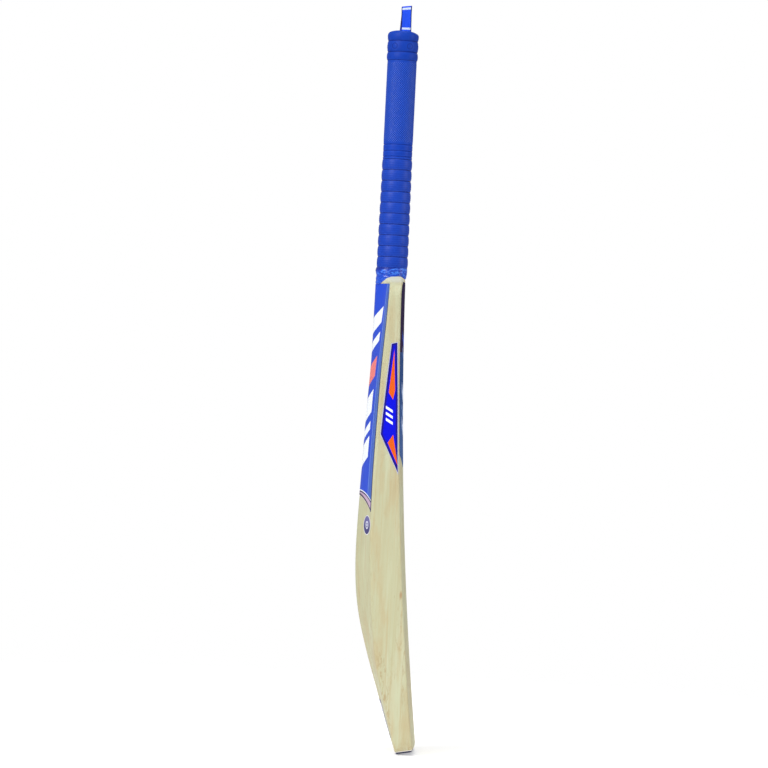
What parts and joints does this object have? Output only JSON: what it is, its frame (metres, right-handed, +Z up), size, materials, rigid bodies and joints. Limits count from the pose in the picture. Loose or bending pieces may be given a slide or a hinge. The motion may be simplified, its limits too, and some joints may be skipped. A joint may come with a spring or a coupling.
{
  "type": "cricket bat",
  "caption": "Full-size cricket bat: long willow blade with a spine behind and a bowed face, spliced cane handle in a ribbed blue rubber grip, ribbon hang loop that folds.",
  "frame": {"origin": "on the handle's axis, halfway up the handle, where the hands hold the bat", "axes": "+Z up the handle's axis towards its end, -Y out of the playing face, +X across the blade"},
  "size_m": [0.1084, 0.0816, 0.8798],
  "materials": {
    "willow": "satin",
    "cane": "satin",
    "veneer": "satin",
    "spring_rubber": "matte",
    "twine": "matte",
    "grip_rubber": "matte",
    "collar_tape": "gloss",
    "toe_rubber": "matte",
    "ribbon": "satin",
    "back_print": "gloss",
    "roundel_print": "gloss",
    "edge_print": "gloss",
    "face_print": "gloss",
    "label_print": "gloss"
  },
  "bodies": {
    "bat": {"back_roundel": "roundel_print", "back_sticker": "back_print", "blade": "willow", "cane_back_1": "cane", "cane_back_2": "cane", "cane_back_3": "cane", "cane_back_4": "cane", "cane_front_1": "cane", "cane_front_2": "cane", "cane_front_3": "cane", "cane_front_4": "cane", "cane_middle_1": "cane", "cane_middle_2": "cane", "cane_middle_3": "cane", "cane_middle_4": "cane", "edge_sticker_left": "edge_print", "edge_sticker_right": "edge_print", "face_sticker": "face_print", "grip": "grip_rubber", "grip_collar": "collar_tape", "handle_binding": "twine", "hang_loop_tail": "ribbon", "rubber_spring_back": "spring_rubber", "rubber_spring_front": "spring_rubber", "splice_veneer_back": "veneer", "splice_veneer_front": "veneer", "toe_guard": "toe_rubber", "toe_label": "label_print"},
    "hang_loop": {"hang_loop": "ribbon"}
  },
  "joints": [
    {"name": "hang_loop_fold", "type": "hinge", "parent": "bat", "child": "hang_loop", "pos_m": [-0.0126, 0, 0.146], "axis": [0, 1, 0], "range_deg": [-75, 75], "stiffness_Nm_per_rad": 0.0005}
  ]
}
